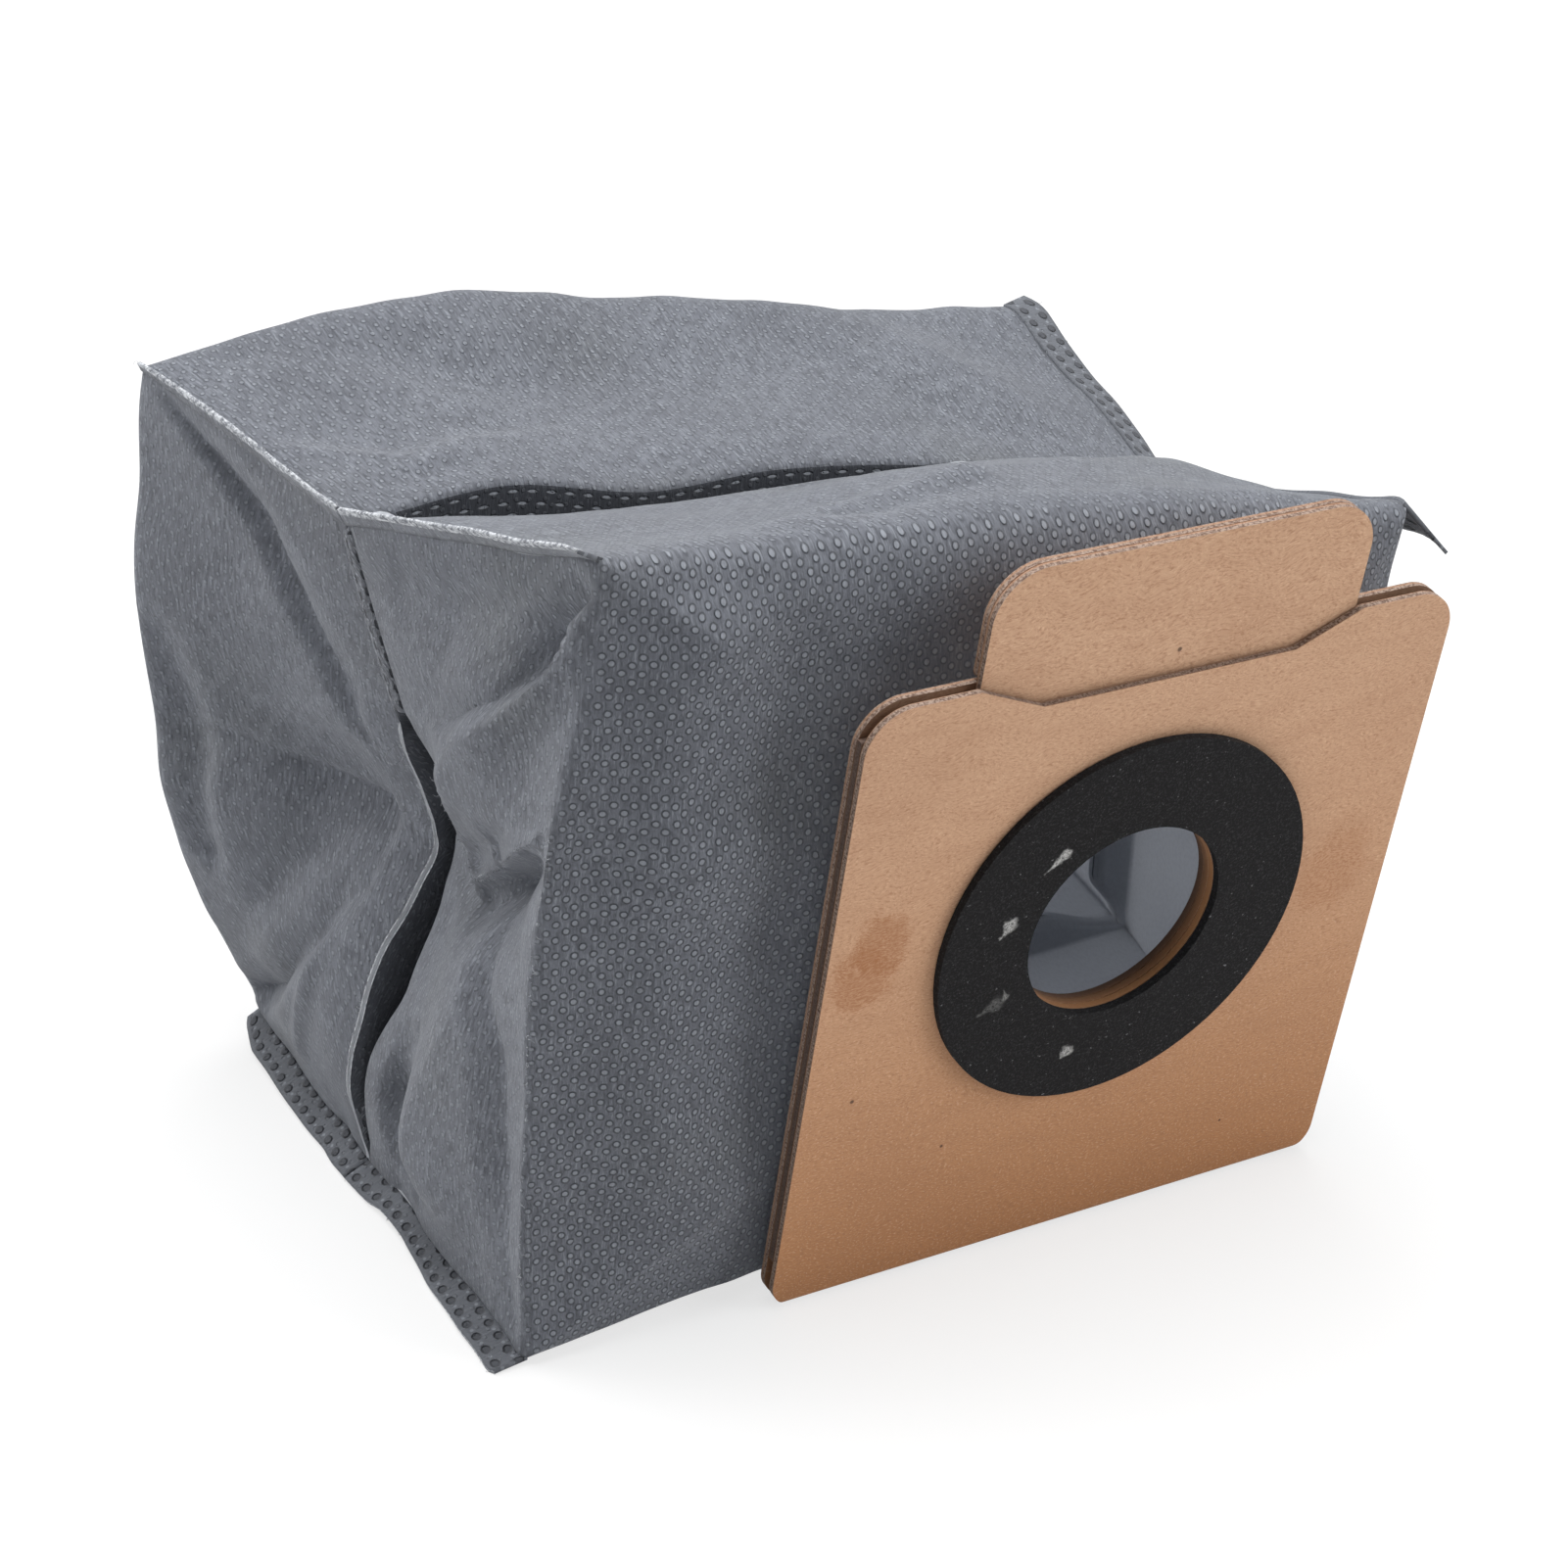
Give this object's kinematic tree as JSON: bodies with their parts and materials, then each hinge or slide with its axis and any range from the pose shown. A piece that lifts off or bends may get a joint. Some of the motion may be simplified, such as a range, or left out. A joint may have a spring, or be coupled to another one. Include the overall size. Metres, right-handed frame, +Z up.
{
  "type": "vacuum dust bag",
  "caption": "Boxed grey nonwoven vacuum dust bag on a folded kraft card plate, with a foam inlet ring and a card slide whose tab pulls up to close the inlet.",
  "frame": {"origin": "on the ground under the middle of the part's box", "axes": "+Z up, the card plate faces -Y, +X runs to the right as seen from the plate's front"},
  "size_m": [0.1724, 0.1226, 0.1322],
  "materials": {
    "kraft_card": "uncoated brown kraft",
    "nonwoven": "spunbond with raised weld dots",
    "foam": "matt closed-cell foam"
  },
  "bodies": {
    "bag": {"mount_card": "kraft_card", "side_strip_left": "kraft_card", "side_strip_right": "kraft_card", "foam_ring": "foam", "front_sheet": "nonwoven", "back_sheet": "nonwoven"},
    "slide": {"closing_slide": "kraft_card", "tab_backing": "kraft_card"}
  },
  "joints": [
    {"name": "slide_pull", "type": "slide", "parent": "bag", "child": "slide", "axis": [0, -0.1045, 0.9945], "range_m": [0, 0.035]}
  ]
}
